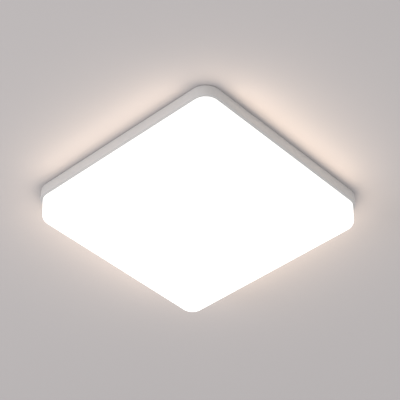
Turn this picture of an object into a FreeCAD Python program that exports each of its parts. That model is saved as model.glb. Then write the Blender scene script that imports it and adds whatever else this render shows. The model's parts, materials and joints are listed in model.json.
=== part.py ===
"""Square flush mount ceiling light, built piece by piece.

Millimetres. The ceiling is the plane z = 0 and the light hangs below it, so every height is negative.
The origin is the middle of the ceiling bar, on the ceiling.
"""

import FreeCAD, Part
import math
import os

from FreeCAD import Vector

# ---- Driving sizes: the light as a whole ----
side = 300.0
corner_radius = 22.0
total_depth = 48.0
base_height = 16.5

# ---- Base pan ----
pan_wall = 2.7
back_recess = 6.0
plate_thickness = 2.2
ceiling_edge_bevel = 1.2
lower_edge_bevel = 0.6
upstand_wall = 1.8
upstand_height = 4.0
boss_height = 4.0
boss_half = 3.5
boss_floor = 0.4
back_rib_width = 1.5
back_rib_height = 2.0
back_rib_pitch = 62.0
bar_bay_half_length = 71.0
bar_bay_half_width = 32.0

# ---- Seal and diffuser ----
seal_width = 3.5
seal_thickness = 2.0
seal_clearance = 0.2
skirt_clearance = 0.3
skirt_gap = 0.3
diffuser_wall = 2.0
diffuser_face = 2.0
diffuser_draft = 0.8
face_edge_radius = 8.0
inner_edge_bevel = 5.0
catch_reach = 1.2
catch_height = 2.4
catch_width = 17.0
catch_drop = 2.5

# ---- Cover springs ----
spring_width = 14.0
spring_thickness = 0.5
spring_bend = 0.9
spring_foot = 13.0
spring_leg_gap = 0.3
spring_engagement = 0.5
spring_nose_drop = 1.1
spring_lead_in_height = 4.4
spring_lead_in_slant = 2.4
pocket_length = 8.0
pocket_wall = 1.5
pocket_clearance = 0.1

# ---- Gear tray and light board ----
tray_gap = 4.6
tray_thickness = 0.8
tray_flange = 4.0
tray_wire_hole_radius = 9.5
tray_access_half = 6.5
board_from_tray_edge = 26.0
board_band_width = 30.0
board_thickness = 1.6
board_corner = 6.0
chip_length = 3.5
chip_width = 2.8
chip_height = 0.7
chip_pitch = 28.0
chip_row_spacing = 14.0
outer_row_chips = 7
inner_row_chips = 5
board_screw_radius = 1.5
board_screw_head_radius = 3.5
board_screw_head_height = 2.0
board_screw_inset = 1.5
connector_length = 10.0
connector_width = 9.0
connector_height = 4.0
connector_from_edge = 2.0

# ---- Fasteners and their fits ----
thread_fit = 0.05
hole_clearance = 0.3
pan_screw_spacing = 112.0
pan_screw_radius = 2.0
pan_screw_head_radius = 3.8
pan_screw_head_height = 2.3
pan_screw_tip_gap = 0.3

# ---- Ceiling bar and wire grommet ----
bar_length = 124.0
bar_width = 25.0
bar_thickness = 1.5
bar_flange = 3.0
bar_bend = 2.2
bar_slot_spacing = 79.4
bar_slot_length = 18.0
bar_slot_width = 4.8
bar_wire_hole_radius = 8.5
grommet_bore_radius = 4.75
grommet_lip_radius = 9.0
grommet_lip_thickness = 1.5
grommet_groove_radius = 6.5
grommet_fit = 0.1
grommet_neck_proud = 1.5
grommet_barb_reach = 0.6
grommet_barb_width = 4.0
grommet_barb_height = 1.2

# ---- Driver ----
driver_length = 104.0
driver_width = 44.0
driver_height = 18.0
driver_centre_y = 44.0
driver_wall = 1.5
driver_floor = 1.6
driver_edge_bevel = 1.5
driver_rim_height = 2.4
driver_rim_wall = 1.2
driver_fit = 0.1
driver_ledge_width = 3.0
driver_ledge_height = 3.0
driver_board_thickness = 1.6
driver_board_margin = 1.5
input_pitch = 5.0
output_pitch = 5.0
transformer_length = 17.0
transformer_width = 15.0
transformer_height = 9.0
core_height = 6.0
core_overhang = 2.5
capacitor_radius = 4.0
capacitor_height = 9.4
film_capacitor_length = 13.0
film_capacitor_width = 6.0
choke_length = 10.0
choke_width = 9.0
choke_height = 7.5
choke_flange = 1.4
choke_waist = 2.0
chip_body_length = 6.2
chip_body_width = 5.0
chip_body_height = 1.7
plug_block_length = 7.0
plug_block_height = 6.0

# ---- Supply terminal ----
terminal_centre_x = -30.0
terminal_centre_y = -20.0
terminal_length = 34.0
terminal_width = 24.0
terminal_height = 14.0
terminal_edge_bevel = 1.0
pole_pitch = 10.0
busbar_length = 18.0
busbar_width = 4.0
busbar_thickness = 1.0
busbar_clearance = 0.3
busbar_depth = 5.0
button_length = 6.0
button_width = 5.0
button_height = 7.0
button_travel = 1.5
button_left_proud = 0.5
button_clearance = 0.3
button_shoulder = 0.8
button_shoulder_height = 1.2
button_slot_width = 1.0
button_slot_depth = 0.6
button_spring_thickness = 0.3
button_spring_width = 3.0
button_spring_bend = 0.5
button_spring_length = 3.6
wire_entry_size = 3.4
wire_entry_mouth = 4.8
wire_entry_depth = 1.8

# ---- Snap feet of the driver and the terminal ----
foot_thickness = 1.6
foot_width = 7.0
foot_barb = 0.8
foot_barb_height = 1.6
foot_fit = 0.1
foot_slot_clearance = 0.2
foot_from_end = 1.8

# ---- Leads inside the light ----
lead_radius = 0.9
lead_sides = 6
lead_hole_clearance = 0.3
lead_bend = 9.0
ground_lead_bend = 4.5
lead_straight = 9.0

# ---- Ground tab of the tray and its push-on spade ----
tab_width = 6.3
tab_length = 8.0
tab_drop = 2.0
tab_from_terminal = 24.0
tab_slot_clearance = 0.3
spade_fit = 0.05
spade_wall = 0.5
spade_length = 7.0
spade_roll_gap = 1.8
spade_barrel_length = 5.0
spade_barrel_half = 1.4
spade_neck_half = 1.0

# ---- Heights worked out from the driving sizes ----
half_side = side / 2
base_bottom = -base_height
face_bottom = -total_depth
plate_top = -back_recess
plate_bottom = plate_top - plate_thickness
tray_top = plate_bottom - boss_height
tray_bottom = tray_top - tray_thickness
board_bottom = tray_bottom - board_thickness
pan_inner_half = half_side - pan_wall
pan_inner_radius = corner_radius - pan_wall
channel_width = seal_width + 2 * seal_clearance
upstand_half = pan_inner_half - channel_width
upstand_inner_half = upstand_half - upstand_wall
tray_half = upstand_inner_half - tray_gap
board_outer_half = tray_half - board_from_tray_edge
board_inner_half = board_outer_half - board_band_width
skirt_half = pan_inner_half - skirt_clearance
skirt_inner_half = skirt_half - diffuser_wall
skirt_top = plate_bottom - seal_thickness - skirt_gap
catch_bottom = skirt_top - catch_drop - catch_height
catch_tip = skirt_inner_half - catch_reach
driver_base_bottom = tray_bottom - driver_floor
driver_board_top = driver_base_bottom - driver_ledge_height
driver_board_bottom = driver_board_top - driver_board_thickness
driver_bottom = tray_bottom - driver_height
terminal_bottom = tray_bottom - terminal_height
busbar_bottom = tray_bottom - busbar_depth
busbar_top = busbar_bottom + busbar_thickness
button_bottom = terminal_bottom - button_travel - button_left_proud
button_top = button_bottom + button_height
terminal_lead_height = busbar_bottom - wire_entry_size / 2
driver_lead_height = driver_board_bottom - plug_block_height / 2
led_lead_height = board_bottom - connector_height / 2
tab_top = tray_bottom - tab_drop
tab_bottom = tab_top - tray_thickness
spade_lead_height = (tab_top + tab_bottom) / 2
quarter_turns = (0, 90, 180, 270)


# ---- Shared shapes ----
def on_circle(cx, cy, radius, angle, z):
    """The point at an angle in degrees on a level circle."""
    turn = math.radians(angle)
    return Vector(cx + radius * math.cos(turn), cy + radius * math.sin(turn), z)


def rounded_outline(half_x, half_y, radius, z, cx=0.0, cy=0.0):
    """A level closed wire: a rectangle with four round corners."""
    dx = half_x - radius
    dy = half_y - radius
    corners = [(cx + dx, cy + dy), (cx - dx, cy + dy), (cx - dx, cy - dy), (cx + dx, cy - dy)]
    edges = []
    for turn, (x, y) in enumerate(corners):
        start = 90 * turn
        points = [on_circle(x, y, radius, start + step, z) for step in (0, 45, 90)]
        edges.append(Part.Arc(*points).toShape())
        next_x, next_y = corners[(turn + 1) % 4]
        ahead = on_circle(next_x, next_y, radius, start + 90, z)
        edges.append(Part.LineSegment(points[2], ahead).toShape())
    return Part.Wire(edges)


def rounded_plate(half_x, half_y, radius, bottom, top, cx=0.0, cy=0.0):
    """A flat slab with round corners between two heights."""
    face = Part.Face(rounded_outline(half_x, half_y, radius, bottom, cx, cy))
    return face.extrude(Vector(0, 0, top - bottom))


def square_plate(half, radius, bottom, top):
    """A square slab with round corners, centred on the light."""
    return rounded_plate(half, half, radius, bottom, top)


def square_ring(half, radius, wall, bottom, top):
    """A square frame with round corners and an even wall."""
    inner = square_plate(half - wall, radius - wall, bottom, top)
    return square_plate(half, radius, bottom, top).cut(inner)


def block(x0, x1, y0, y1, z0, z1):
    """A box between two opposite corners."""
    return Part.makeBox(x1 - x0, y1 - y0, z1 - z0, Vector(x0, y0, z0))


def centred_block(cx, cy, length, width, bottom, top):
    """A box centred in plan, between two heights."""
    return block(cx - length / 2, cx + length / 2, cy - width / 2, cy + width / 2, bottom, top)


def disc(x, y, radius, bottom, top):
    """An upright cylinder between two heights."""
    return Part.makeCylinder(radius, top - bottom, Vector(x, y, bottom))


def fused(shapes):
    """All the shapes joined into one, with the faces that lie in one plane merged."""
    return shapes[0].fuse(shapes[1:]).removeSplitter()


def turned(shape, angle):
    """A copy of the shape turned about the light's vertical axis."""
    copy = shape.copy()
    copy.rotate(Vector(0, 0, 0), Vector(0, 0, 1), angle)
    return copy


def edges_at(shape, z):
    """The level edges of a shape at one height."""
    return [e for e in shape.Edges if abs(e.BoundBox.ZMin - z) < 1e-6 and abs(e.BoundBox.ZMax - z) < 1e-6]


def upright_edges(shape):
    """The straight upright edges of a shape."""
    return [e for e in shape.Edges if e.BoundBox.XLength < 1e-6 and e.BoundBox.YLength < 1e-6]


def rounded_edges(points, radii):
    """Edges along the points: straight runs joined by tangent arcs; a radius of 0 leaves a corner sharp."""
    edges = []
    start = points[0]
    for before, corner, after, radius in zip(points, points[1:], points[2:], radii):
        back = (before - corner).normalize()
        ahead = (after - corner).normalize()
        half_turn = (math.pi - back.getAngle(ahead)) / 2
        setback = radius * math.tan(half_turn)
        first = corner + back * setback
        edges.append(Part.LineSegment(start, first).toShape())
        start = corner + ahead * setback
        if radius > 0:
            sagitta = radius / math.cos(half_turn) - radius
            middle = corner + (back + ahead).normalize() * sagitta
            edges.append(Part.Arc(first, middle, start).toShape())
    edges.append(Part.LineSegment(start, points[-1]).toShape())
    return edges


def offset_points(points, distance, normal):
    """The points of a flat path moved sideways, with mitred corners."""
    sides = []
    for one, other in zip(points, points[1:]):
        along = (other - one).normalize()
        sides.append(normal.cross(along) * distance)
    moved = [points[0] + sides[0]]
    for corner, one, other in zip(points[1:-1], sides, sides[1:]):
        middle = (one + other).normalize()
        moved.append(corner + middle * (distance * distance / abs(middle.dot(one))))
    moved.append(points[-1] + sides[-1])
    return moved


def bent_strip(points, thickness, bends, normal, width):
    """A strip of even thickness bent along a flat path and drawn out along the normal, centred on it."""
    left_radii = []
    right_radii = []
    for before, corner, after, bend in zip(points, points[1:], points[2:], bends):
        sign = 1 if (corner - before).cross(after - corner).dot(normal) > 0 else -1
        left_radii.append(bend - sign * thickness / 2 if bend else 0)
        right_radii.append(bend + sign * thickness / 2 if bend else 0)
    left = offset_points(points, thickness / 2, normal)
    right = offset_points(points, -thickness / 2, normal)
    edges = rounded_edges(left, left_radii)
    edges.append(Part.LineSegment(left[-1], right[-1]).toShape())
    edges += rounded_edges(right[::-1], right_radii[::-1])
    edges.append(Part.LineSegment(right[0], left[0]).toShape())
    face = Part.Face(Part.Wire(edges))
    strip = face.extrude(normal * width)
    strip.translate(normal * (-width / 2))
    return strip


def insulated_lead(points, bend):
    """A lead along the points, six-sided in section, with every turn an arc of the same bend."""
    path = Part.Wire(rounded_edges(points, [bend] * (len(points) - 2)))
    heading = (points[1] - points[0]).normalize()
    across = heading.cross(Vector(0, 0, 1)).normalize()
    upward = across.cross(heading)
    corners = []
    for k in range(lead_sides):
        turn = 2 * math.pi * (k + 0.5) / lead_sides
        sideways = across * (lead_radius * math.cos(turn))
        upwards = upward * (lead_radius * math.sin(turn))
        corners.append(points[0] + sideways + upwards)
    section = Part.makePolygon(corners + corners[:1])
    lead = path.makePipeShell([section], True, False)
    expected = Part.Face(section).Area * path.Length
    ratio = lead.Volume / expected
    print(f"lead {path.Length:.1f} mm long, bends {bend} mm, volume {ratio:.4f} of section by length")
    return lead


def screw(x, y, seat, head, shank_radius, tip):
    """A pan head screw driven upwards: its head hangs below the seat and its shank ends at the tip."""
    head_radius, head_height = head
    cap = disc(x, y, head_radius, seat - head_height, seat)
    return fused([cap, disc(x, y, shank_radius, seat, tip)])


def long_slot(x, y, length, width, bottom, top):
    """The solid of a slot along X with round ends."""
    reach = length / 2 - width / 2
    ends = [disc(x + side_sign * reach, y, width / 2, bottom, top) for side_sign in (-1, 1)]
    return fused([centred_block(x, y, 2 * reach, width, bottom, top)] + ends)


def snap_foot(x, y, outward):
    """A barbed foot that reaches up through the tray and hooks over its upper side."""
    ledge = tray_top + foot_fit
    tip = ledge + foot_barb_height
    root = x - outward * foot_thickness / 2
    flank = x + outward * foot_thickness / 2
    outline = [
        Vector(root, y, tray_bottom),
        Vector(flank, y, tray_bottom),
        Vector(flank, y, ledge),
        Vector(flank + outward * foot_barb, y, ledge),
        Vector(flank, y, tip),
        Vector(root, y, tip),
    ]
    foot = Part.Face(Part.makePolygon(outline + outline[:1])).extrude(Vector(0, foot_width, 0))
    foot.translate(Vector(0, -foot_width / 2, 0))
    return foot


def snap_slot(x, y):
    """The slot in the tray that a snap foot goes through."""
    length = foot_thickness + 2 * foot_slot_clearance
    width = foot_width + 2 * foot_slot_clearance
    return centred_block(x, y, length, width, tray_bottom - 1, tray_top + 1)


def four_ways(x, y):
    """A place repeated on the four sides of the square."""
    return [turn_about_z(x, y, 90 * k) for k in range(4)]


def turn_about_z(x, y, angle):
    """A place turned about the light's vertical axis."""
    turn = math.radians(angle)
    return (x * math.cos(turn) - y * math.sin(turn), x * math.sin(turn) + y * math.cos(turn))


def spread(count, pitch):
    """Evenly spaced places about zero."""
    return [(i - (count - 1) / 2) * pitch for i in range(count)]


# ---- Places that several pieces share ----
def board_band():
    """How far the middle of the light board's band lies from the light's middle."""
    return (board_outer_half + board_inner_half) / 2


def board_screw_places():
    """A screw beside each cut corner of the light board, whose head holds the corner down."""
    reach = board_outer_half - board_screw_inset
    return four_ways(reach, reach)


def pan_screw_places():
    """The two screws that draw the base pan up to the ceiling bar."""
    return [(x, 0.0) for x in spread(2, pan_screw_spacing)]


def driver_foot_places():
    """The snap feet under the two ends of the driver case, each with the way its barb points."""
    reach = driver_length / 2 - driver_wall - foot_from_end
    return [(side_sign * reach, driver_centre_y, side_sign) for side_sign in (-1, 1)]


def terminal_foot_places():
    """The snap feet under the two ends of the supply terminal, each with the way its barb points."""
    reach = terminal_length / 2 - foot_from_end
    return [(terminal_centre_x + side_sign * reach, terminal_centre_y, side_sign) for side_sign in (-1, 1)]


def connector_y():
    """The light board's connector stands between two chips of the inner row."""
    return 1.5 * chip_pitch


def pole_x(pole):
    """The middle of a pole of the supply terminal: 0 line, 1 neutral, 2 ground."""
    return terminal_centre_x + (pole - 1) * pole_pitch


def tab_root_y():
    """Where the tray's ground tab comes down, on its side towards the terminal."""
    return terminal_centre_y + terminal_width / 2 + tab_from_terminal


def spade_start():
    """Where the spade on the ground tab begins, at its end towards the terminal."""
    return tab_root_y() - tab_length


# ---- Ceiling side ----
def make_mounting_bar():
    """A steel bar with two flanged edges, screwed to the ceiling box through its slots."""
    bottom = -bar_thickness - bar_flange
    bar = centred_block(0, 0, bar_length, bar_width, bottom, 0)
    long_edges = [e for e in edges_at(bar, 0) if e.BoundBox.YLength < 1e-6]
    bar = bar.makeFillet(bar_bend, long_edges)
    inner_width = bar_width - 2 * bar_thickness
    inner = centred_block(0, 0, bar_length + 2, inner_width, bottom - 1, -bar_thickness)
    inner_edges = [e for e in edges_at(inner, -bar_thickness) if e.BoundBox.YLength < 1e-6]
    bar = bar.cut(inner.makeFillet(bar_bend - bar_thickness, inner_edges))
    cuts = [disc(0, 0, bar_wire_hole_radius, bottom, 1)]
    for x in spread(2, bar_slot_spacing):
        cuts.append(long_slot(x, 0, bar_slot_length, bar_slot_width, bottom, 1))
    for x, y in pan_screw_places():
        cuts.append(disc(x, y, pan_screw_radius + thread_fit, bottom, 1))
    return bar.cut(cuts)


def make_pan_screws():
    """The two screws from inside the pan up into the ceiling bar."""
    head = (pan_screw_head_radius, pan_screw_head_height)
    tip = -pan_screw_tip_gap
    return [screw(x, y, plate_bottom, head, pan_screw_radius, tip) for x, y in pan_screw_places()]


def make_wire_grommet():
    """A rubber bush pushed up through the pan's wire hole, with a lip below and two barbs above."""
    top = plate_top + grommet_neck_proud
    bottom = plate_bottom - grommet_lip_thickness
    neck = disc(0, 0, grommet_groove_radius, plate_bottom, top)
    bush = [disc(0, 0, grommet_lip_radius, bottom, plate_bottom), neck]
    root = grommet_groove_radius - grommet_barb_reach
    tip = grommet_groove_radius + grommet_barb_reach
    for angle in (0, 180):
        barb = block(
            root, tip, -grommet_barb_width / 2, grommet_barb_width / 2,
            plate_top, plate_top + grommet_barb_height,
        )
        bush.append(turned(barb, angle))
    return fused(bush).cut(disc(0, 0, grommet_bore_radius, bottom, top))


# ---- Base pan ----
def back_ribs():
    """Low crossing ribs on the ceiling side of the plate, clear of the ceiling bar's bay."""
    top = plate_top + back_rib_height
    reach = pan_inner_half + pan_wall / 2
    ribs = []
    for first, along_x in ((bar_bay_half_length, False), (bar_bay_half_width, True)):
        offset = first
        while offset < pan_inner_half - back_rib_pitch / 4:
            for place in (-offset, offset):
                length = 2 * reach if along_x else back_rib_width
                width = back_rib_width if along_x else 2 * reach
                cx = 0 if along_x else place
                cy = place if along_x else 0
                ribs.append(centred_block(cx, cy, length, width, plate_top, top))
            offset += back_rib_pitch
    return ribs


def spring_pocket():
    """A moulded loop under the plate that holds a spring's foot, on the +X side."""
    depth = spring_thickness + 2 * pocket_clearance
    half_width = spring_width / 2 + pocket_clearance
    x0 = upstand_inner_half - spring_leg_gap - spring_foot + pocket_wall
    x1 = x0 + pocket_length
    outer = block(
        x0, x1, -half_width - pocket_wall, half_width + pocket_wall,
        plate_bottom - depth - pocket_wall, plate_bottom,
    )
    return outer.cut(block(x0 - 1, x1 + 1, -half_width, half_width, plate_bottom - depth, plate_bottom))


def make_base_pan():
    """The moulded pan: side wall, plate, seal channel, bosses, spring pockets and back ribs."""
    pan = square_plate(half_side, corner_radius, base_bottom, 0)
    pan = pan.makeChamfer(ceiling_edge_bevel, edges_at(pan, 0))
    pan = pan.makeChamfer(lower_edge_bevel, edges_at(pan, base_bottom))
    back = square_plate(pan_inner_half, pan_inner_radius, plate_top, 1)
    front = square_plate(pan_inner_half, pan_inner_radius, base_bottom - 1, plate_bottom)
    pan = pan.cut([back, front])
    upstand_radius = pan_inner_radius - channel_width
    upstand_bottom = plate_bottom - upstand_height
    additions = [square_ring(upstand_half, upstand_radius, upstand_wall, upstand_bottom, plate_bottom)]
    additions += back_ribs()
    for x, y in board_screw_places():
        additions.append(centred_block(x, y, 2 * boss_half, 2 * boss_half, tray_top, plate_bottom))
    for angle in quarter_turns:
        additions.append(turned(spring_pocket(), angle))
    pan = fused([pan] + additions)
    holes = [disc(0, 0, grommet_groove_radius + grommet_fit, plate_bottom - 1, plate_top + 1)]
    for x, y in pan_screw_places():
        holes.append(disc(x, y, pan_screw_radius + hole_clearance, plate_bottom - 1, plate_top + 1))
    for x, y in board_screw_places():
        holes.append(disc(x, y, board_screw_radius + thread_fit, tray_top - 1, plate_bottom - boss_floor))
    return pan.cut(holes)


def make_cover_seal():
    """A soft ring lying in the channel between the pan's wall and its upstand."""
    half = pan_inner_half - seal_clearance
    radius = pan_inner_radius - seal_clearance
    return square_ring(half, radius, seal_width, plate_bottom - seal_thickness, plate_bottom)


def make_cover_springs():
    """A leaf spring on each side, whose nose reaches under the diffuser's catch."""
    leg_x = upstand_inner_half - spring_leg_gap - spring_thickness / 2
    foot_x = upstand_inner_half - spring_leg_gap - spring_foot
    hold = plate_bottom - pocket_clearance - spring_thickness / 2
    knee = plate_bottom - upstand_height - spring_bend
    nose_x = catch_tip + spring_engagement
    nose = catch_bottom - spring_nose_drop
    path = [
        Vector(foot_x, 0, hold),
        Vector(leg_x, 0, hold),
        Vector(leg_x, 0, knee),
        Vector(nose_x, 0, nose),
        Vector(nose_x - spring_lead_in_slant, 0, nose - spring_lead_in_height),
    ]
    bends = [0, 0, spring_bend]
    spring = bent_strip(path, spring_thickness, bends, Vector(0, 1, 0), spring_width)
    return [turned(spring, angle) for angle in quarter_turns]


# ---- Diffuser ----
def catch(angle):
    """A catch on the inside of the skirt, sloped on its upper side so that the spring rides over it."""
    top = catch_bottom + catch_height
    root = skirt_inner_half + diffuser_wall / 2
    outline = [
        Vector(root, 0, top),
        Vector(skirt_inner_half, 0, top),
        Vector(catch_tip, 0, top - catch_reach),
        Vector(catch_tip, 0, catch_bottom),
        Vector(root, 0, catch_bottom),
    ]
    rib = Part.Face(Part.makePolygon(outline + outline[:1])).extrude(Vector(0, catch_width, 0))
    rib.translate(Vector(0, -catch_width / 2, 0))
    return turned(rib, angle)


def round_cornered_square(points, bends):
    """A square solid with round corners; its side follows the points from the corner's axis and back."""
    axis = points[0].x
    edges = rounded_edges(points, bends)
    edges.append(Part.LineSegment(points[-1], points[0]).toShape())
    face = Part.Face(Part.Wire(edges))
    bottom = points[-1].z
    solids = [centred_block(0, 0, 2 * axis, 2 * axis, bottom, points[0].z)]
    side_run = face.extrude(Vector(0, 2 * axis, 0))
    side_run.translate(Vector(0, -axis, 0))
    at_corner = face.copy()
    at_corner.translate(Vector(0, axis, 0))
    corner = at_corner.revolve(Vector(axis, axis, 0), Vector(0, 0, 1), 90)
    for angle in quarter_turns:
        solids += [turned(side_run, angle), turned(corner, angle)]
    return fused(solids)


def make_diffuser():
    """The opal cover: a straight skirt inside the pan, drafted sides and a rounded edge round its face."""
    axis = skirt_half - (pan_inner_radius - skirt_clearance)
    floor = face_bottom + diffuser_face
    outer = [
        Vector(axis, 0, skirt_top),
        Vector(skirt_half, 0, skirt_top),
        Vector(skirt_half, 0, base_bottom),
        Vector(skirt_half - diffuser_draft, 0, face_bottom),
        Vector(axis, 0, face_bottom),
    ]
    inner = [
        Vector(axis, 0, skirt_top),
        Vector(skirt_inner_half, 0, skirt_top),
        Vector(skirt_inner_half - diffuser_draft, 0, floor + inner_edge_bevel),
        Vector(skirt_inner_half - diffuser_draft - inner_edge_bevel, 0, floor),
        Vector(axis, 0, floor),
    ]
    cover = round_cornered_square(outer, [0, 0, face_edge_radius])
    hollow = round_cornered_square(inner, [0, 0, 0])
    return fused([cover.cut(hollow)] + [catch(angle) for angle in quarter_turns])


# ---- Gear tray and light board ----
def make_gear_tray():
    """The pressed steel tray that carries the light board, the driver and the supply terminal."""
    radius = pan_inner_radius - (pan_inner_half - tray_half)
    bottom = tray_bottom - tray_flange
    low = tray_bottom - 1
    high = tray_top + 1
    tray = square_plate(tray_half, radius, bottom, tray_top)
    cuts = [square_plate(tray_half - tray_thickness, radius - tray_thickness, bottom - 1, tray_bottom)]
    cuts.append(disc(0, 0, tray_wire_hole_radius, low, high))
    for x, y in pan_screw_places():
        cuts.append(centred_block(x, y, 2 * tray_access_half, 2 * tray_access_half, low, high))
    for x, y in board_screw_places():
        cuts.append(disc(x, y, board_screw_radius + hole_clearance, low, high))
    for x, y, _ in driver_foot_places() + terminal_foot_places():
        cuts.append(snap_slot(x, y))
    x = pole_x(2)
    root = tab_root_y()
    gap_half = tab_width / 2 + tab_slot_clearance
    cuts.append(block(x - gap_half, x + gap_half, root - tab_length - tab_drop, root, low, high))
    tab_end = root - tab_length
    tab_foot = root + tray_thickness
    tab = block(x - tab_width / 2, x + tab_width / 2, tab_end, tab_foot, tab_bottom, tab_top)
    leg = block(x - tab_width / 2, x + tab_width / 2, root, tab_foot, tab_bottom, tray_bottom)
    return fused([tray.cut(cuts), tab, leg])


def make_led_board():
    """The metal-cored light board, a square ring with cut corners, flat against the tray."""
    width = 2 * board_outer_half
    board = centred_block(0, 0, width, width, board_bottom, tray_bottom)
    board = board.makeChamfer(board_corner, upright_edges(board))
    window = 2 * board_inner_half
    return board.cut(centred_block(0, 0, window, window, board_bottom, tray_bottom))


def make_board_screws():
    """The screws through the tray into the pan's bosses, whose heads hold the light board's corners."""
    head = (board_screw_head_radius, board_screw_head_height)
    tip = plate_bottom - boss_floor - thread_fit
    return [screw(x, y, board_bottom, head, board_screw_radius, tip) for x, y in board_screw_places()]


def make_led_chips():
    """Two rows of light emitting chips along each side of the board."""
    low = board_bottom - chip_height
    rows = [(chip_row_spacing / 2, outer_row_chips), (-chip_row_spacing / 2, inner_row_chips)]
    chips = []
    for offset, count in rows:
        for y in spread(count, chip_pitch):
            chip = centred_block(board_band() + offset, y, chip_width, chip_length, low, board_bottom)
            chips += [turned(chip, angle) for angle in quarter_turns]
    return chips


def make_board_connector():
    """The push-in connector for the two supply leads of the light board."""
    x0 = board_inner_half + connector_from_edge
    y = connector_y()
    low = board_bottom - connector_height
    centre_x = x0 + connector_length / 2
    body = centred_block(centre_x, y, connector_length, connector_width, low, board_bottom)
    depth = connector_length / 2
    sockets = [square_hole(x0, x0 + depth, y + dy, led_lead_height) for dy in spread(2, output_pitch)]
    return body.cut(sockets)


def square_hole(x0, x1, y, z):
    """The solid of a square hole along X that a lead goes into."""
    half = lead_radius + lead_hole_clearance
    return block(x0, x1, y - half, y + half, z - half, z + half)


# ---- Driver ----
def make_driver_base():
    """The driver case's floor on the tray, with a rim, two ledges for the board and two snap feet."""
    half_x = driver_length / 2
    half_y = driver_width / 2
    cy = driver_centre_y
    floor = centred_block(0, cy, driver_length, driver_width, driver_base_bottom, tray_bottom)
    floor = floor.makeChamfer(driver_edge_bevel, upright_edges(floor))
    rim_x = half_x - driver_wall - driver_fit
    rim_y = half_y - driver_wall - driver_fit
    rim_bottom = driver_base_bottom - driver_rim_height
    inner_x = rim_x - driver_rim_wall
    inner_y = rim_y - driver_rim_wall
    rim = block(-rim_x, rim_x, cy - rim_y, cy + rim_y, rim_bottom, driver_base_bottom)
    rim = rim.cut(block(-inner_x, inner_x, cy - inner_y, cy + inner_y, rim_bottom, driver_base_bottom))
    ledges = []
    for x in spread(2, 2 * inner_x - driver_ledge_width):
        ledge = centred_block(x, cy, driver_ledge_width, 2 * inner_y, driver_board_top, driver_base_bottom)
        ledges.append(ledge)
    feet = [snap_foot(*place) for place in driver_foot_places()]
    return fused([floor, rim] + ledges + feet)


def input_places():
    """Where the two supply leads enter the driver case, as X positions on its side towards the terminal."""
    middle = (pole_x(0) + pole_x(1)) / 2
    return [middle + x for x in spread(2, input_pitch)]


def make_driver_cover():
    """The driver case's lid, pressed over the floor's rim: an open box, slotted for each pair of leads."""
    half_x = driver_length / 2
    half_y = driver_width / 2
    cy = driver_centre_y
    lid = centred_block(0, cy, driver_length, driver_width, driver_bottom, driver_base_bottom)
    lid = lid.makeChamfer(driver_edge_bevel, upright_edges(lid) + edges_at(lid, driver_bottom))
    inner_x = half_x - driver_wall
    inner_y = half_y - driver_wall
    roof = driver_bottom + driver_wall
    hollow = block(-inner_x, inner_x, cy - inner_y, cy + inner_y, roof, driver_base_bottom)
    half_hole = lead_radius + lead_hole_clearance
    low = driver_lead_height - half_hole
    high = driver_lead_height + half_hole
    first, last = input_places()
    side_slot = block(first - half_hole, last + half_hole, cy - half_y, cy - inner_y, low, high)
    reach = output_pitch / 2 + half_hole
    end_slot = block(inner_x, half_x, cy - reach, cy + reach, low, high)
    return lid.cut([hollow, side_slot, end_slot])


def driver_board_half():
    """Half the length and half the width of the driver's circuit board."""
    inset = driver_wall + driver_board_margin
    return driver_length / 2 - inset, driver_width / 2 - inset


def make_driver_board():
    """The driver's circuit board, lying on the ledges of the case's floor."""
    half_x, half_y = driver_board_half()
    cy = driver_centre_y
    return block(-half_x, half_x, cy - half_y, cy + half_y, driver_board_bottom, driver_board_top)


def make_driver_transformer():
    """A bobbin with its ferrite core round it, under the circuit board."""
    low = driver_board_bottom - transformer_height
    cy = driver_centre_y
    bobbin = centred_block(0, cy, transformer_length, transformer_width, low, driver_board_bottom)
    core_low = low + (transformer_height - core_height) / 2
    core_width = transformer_width + 2 * core_overhang
    core = centred_block(0, cy, transformer_length / 2, core_width, core_low, core_low + core_height)
    return fused([bobbin, core])


def make_driver_capacitors():
    """The boxed input capacitor and the round output capacitor, standing on the circuit board."""
    low = driver_board_bottom - capacitor_height
    reach = transformer_length / 2 + 3 * capacitor_radius
    cy = driver_centre_y
    boxed = centred_block(-reach, cy, film_capacitor_width, film_capacitor_length, low, driver_board_bottom)
    return [boxed, disc(reach, cy - capacitor_radius, capacitor_radius, low, driver_board_bottom)]


def make_driver_choke():
    """A choke: a wound waist between two flanges."""
    half_x, half_y = driver_board_half()
    x = half_x - choke_length - plug_block_length
    y = driver_centre_y + half_y - choke_width
    low = driver_board_bottom - choke_height
    body = centred_block(x, y, choke_length, choke_width, low, driver_board_bottom)
    waist_length = choke_length - 2 * choke_flange
    waist_width = choke_width - 2 * choke_waist
    sides = centred_block(x, y, waist_length, choke_width, low, driver_board_bottom)
    return body.cut(sides.cut(centred_block(x, y, waist_length, waist_width, low, driver_board_bottom)))


def make_driver_chips():
    """The bridge rectifier and the control chip, flat on the circuit board."""
    low = driver_board_bottom - chip_body_height
    reach = transformer_length / 2 + chip_body_length
    cy = driver_centre_y
    shift = transformer_width / 2 + core_overhang
    return [
        centred_block(-reach, cy - shift, chip_body_length, chip_body_width, low, driver_board_bottom),
        centred_block(reach, cy + shift, chip_body_length, chip_body_width, low, driver_board_bottom),
    ]


def make_driver_terminals():
    """The blocks on the circuit board that take the supply leads and the light board's leads."""
    half_x, half_y = driver_board_half()
    cy = driver_centre_y
    low = driver_board_bottom - plug_block_height
    width = input_pitch * 2
    middle = sum(input_places()) / 2
    side_face = cy - half_y + lead_hole_clearance
    end_face = half_x - lead_hole_clearance
    x0 = middle - width / 2
    x1 = end_face - plug_block_length
    return [
        block(x0, x0 + width, side_face, side_face + plug_block_length, low, driver_board_bottom),
        block(x1, end_face, cy - output_pitch, cy + output_pitch, low, driver_board_bottom),
    ]


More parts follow.
